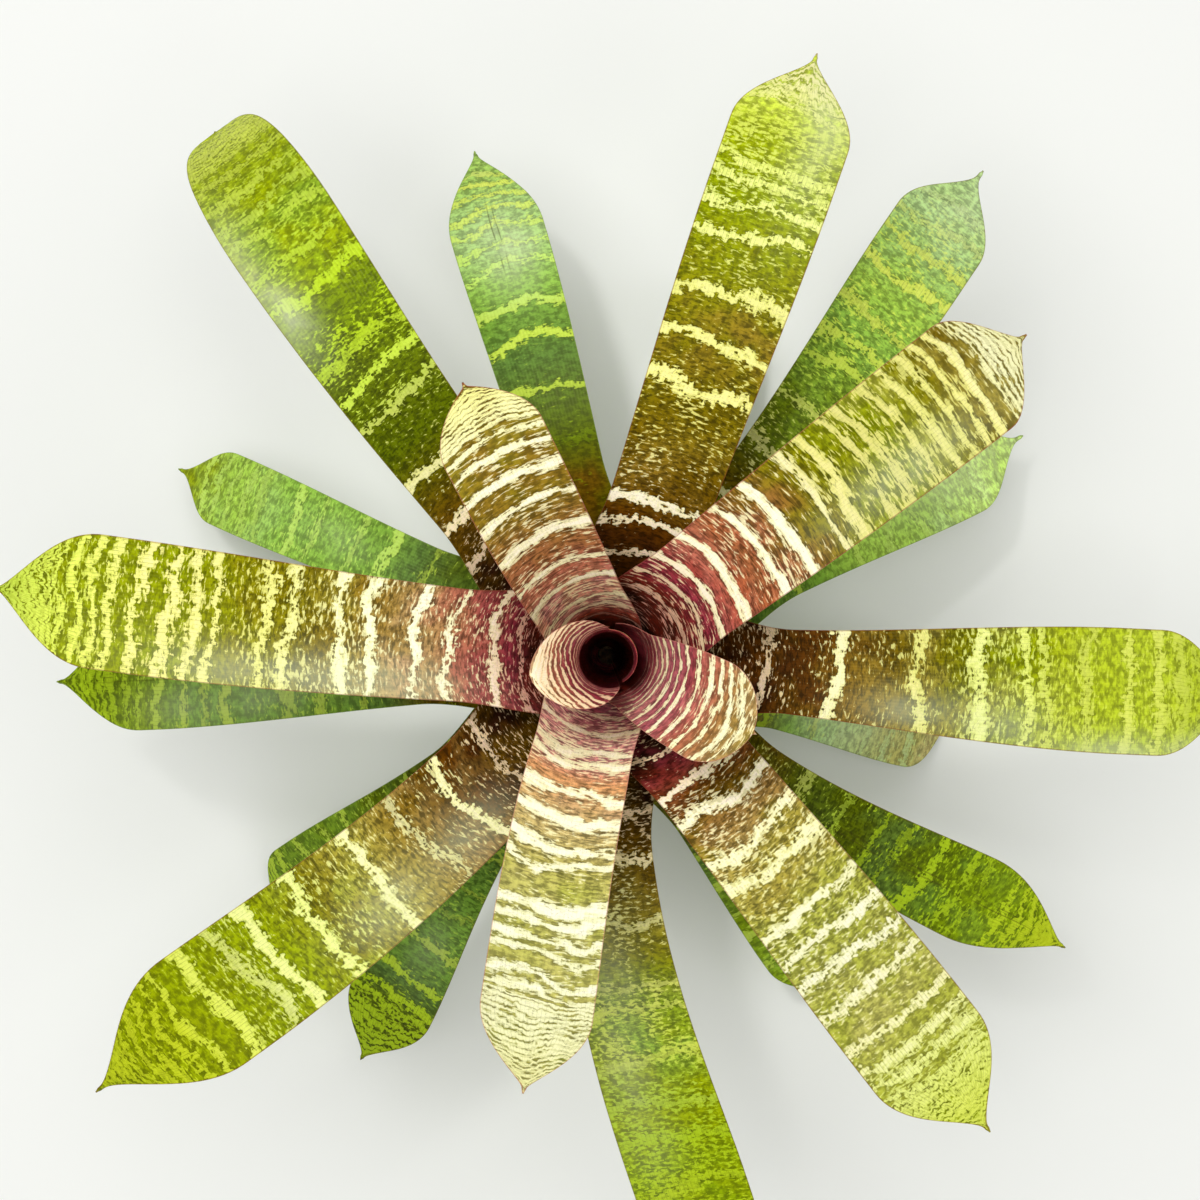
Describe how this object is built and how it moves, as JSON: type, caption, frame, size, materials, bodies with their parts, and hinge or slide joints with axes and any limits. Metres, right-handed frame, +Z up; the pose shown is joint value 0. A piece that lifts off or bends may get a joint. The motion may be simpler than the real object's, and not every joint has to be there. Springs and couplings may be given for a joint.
{
  "type": "bromeliad",
  "caption": "Bromeliad rosette: cream-banded strap leaves in a spiral round a deep central cup, on a short cut stem that stands on a surface.",
  "frame": {"origin": "middle of the stem's flat cut face, on the surface the plant stands on", "axes": "+Z up along the stem, out of the cup; +X towards the leaf middle_leaf_5 that points right when seen from above"},
  "size_m": [0.5426, 0.5456, 0.2621],
  "materials": {
    "cream_leaf": "living leaf, cream with fine brown cross bands, satin",
    "rosy_leaf": "living leaf, red brown to olive with cream cross bands, satin",
    "olive_leaf": "living leaf, olive with pale yellow cross bands, satin",
    "lime_leaf": "living leaf, lime with paler cross bands, satin",
    "green_leaf": "living leaf, dark green with lime cross bands, satin",
    "stem": "fibrous brown stump, matt, cut flat below"
  },
  "bodies": {
    "root": {"stem": "stem", "heart_leaf_1": "rosy_leaf", "heart_leaf_2": "cream_leaf", "heart_leaf_3": "cream_leaf", "inner_leaf_1": "rosy_leaf", "inner_leaf_2": "cream_leaf", "inner_leaf_3": "rosy_leaf", "middle_leaf_1": "olive_leaf", "middle_leaf_2": "olive_leaf", "middle_leaf_3": "olive_leaf", "middle_leaf_4": "olive_leaf", "middle_leaf_5": "olive_leaf", "middle_leaf_6": "lime_leaf", "middle_leaf_7": "lime_leaf", "outer_leaf_1": "lime_leaf", "outer_leaf_2": "green_leaf", "outer_leaf_3": "lime_leaf", "outer_leaf_4": "green_leaf", "outer_leaf_5": "lime_leaf", "outer_leaf_6": "green_leaf", "outer_leaf_7": "green_leaf", "outer_leaf_8": "green_leaf", "outer_leaf_9": "green_leaf", "outer_leaf_10": "green_leaf", "outer_leaf_11": "green_leaf"}
  },
  "joints": []
}
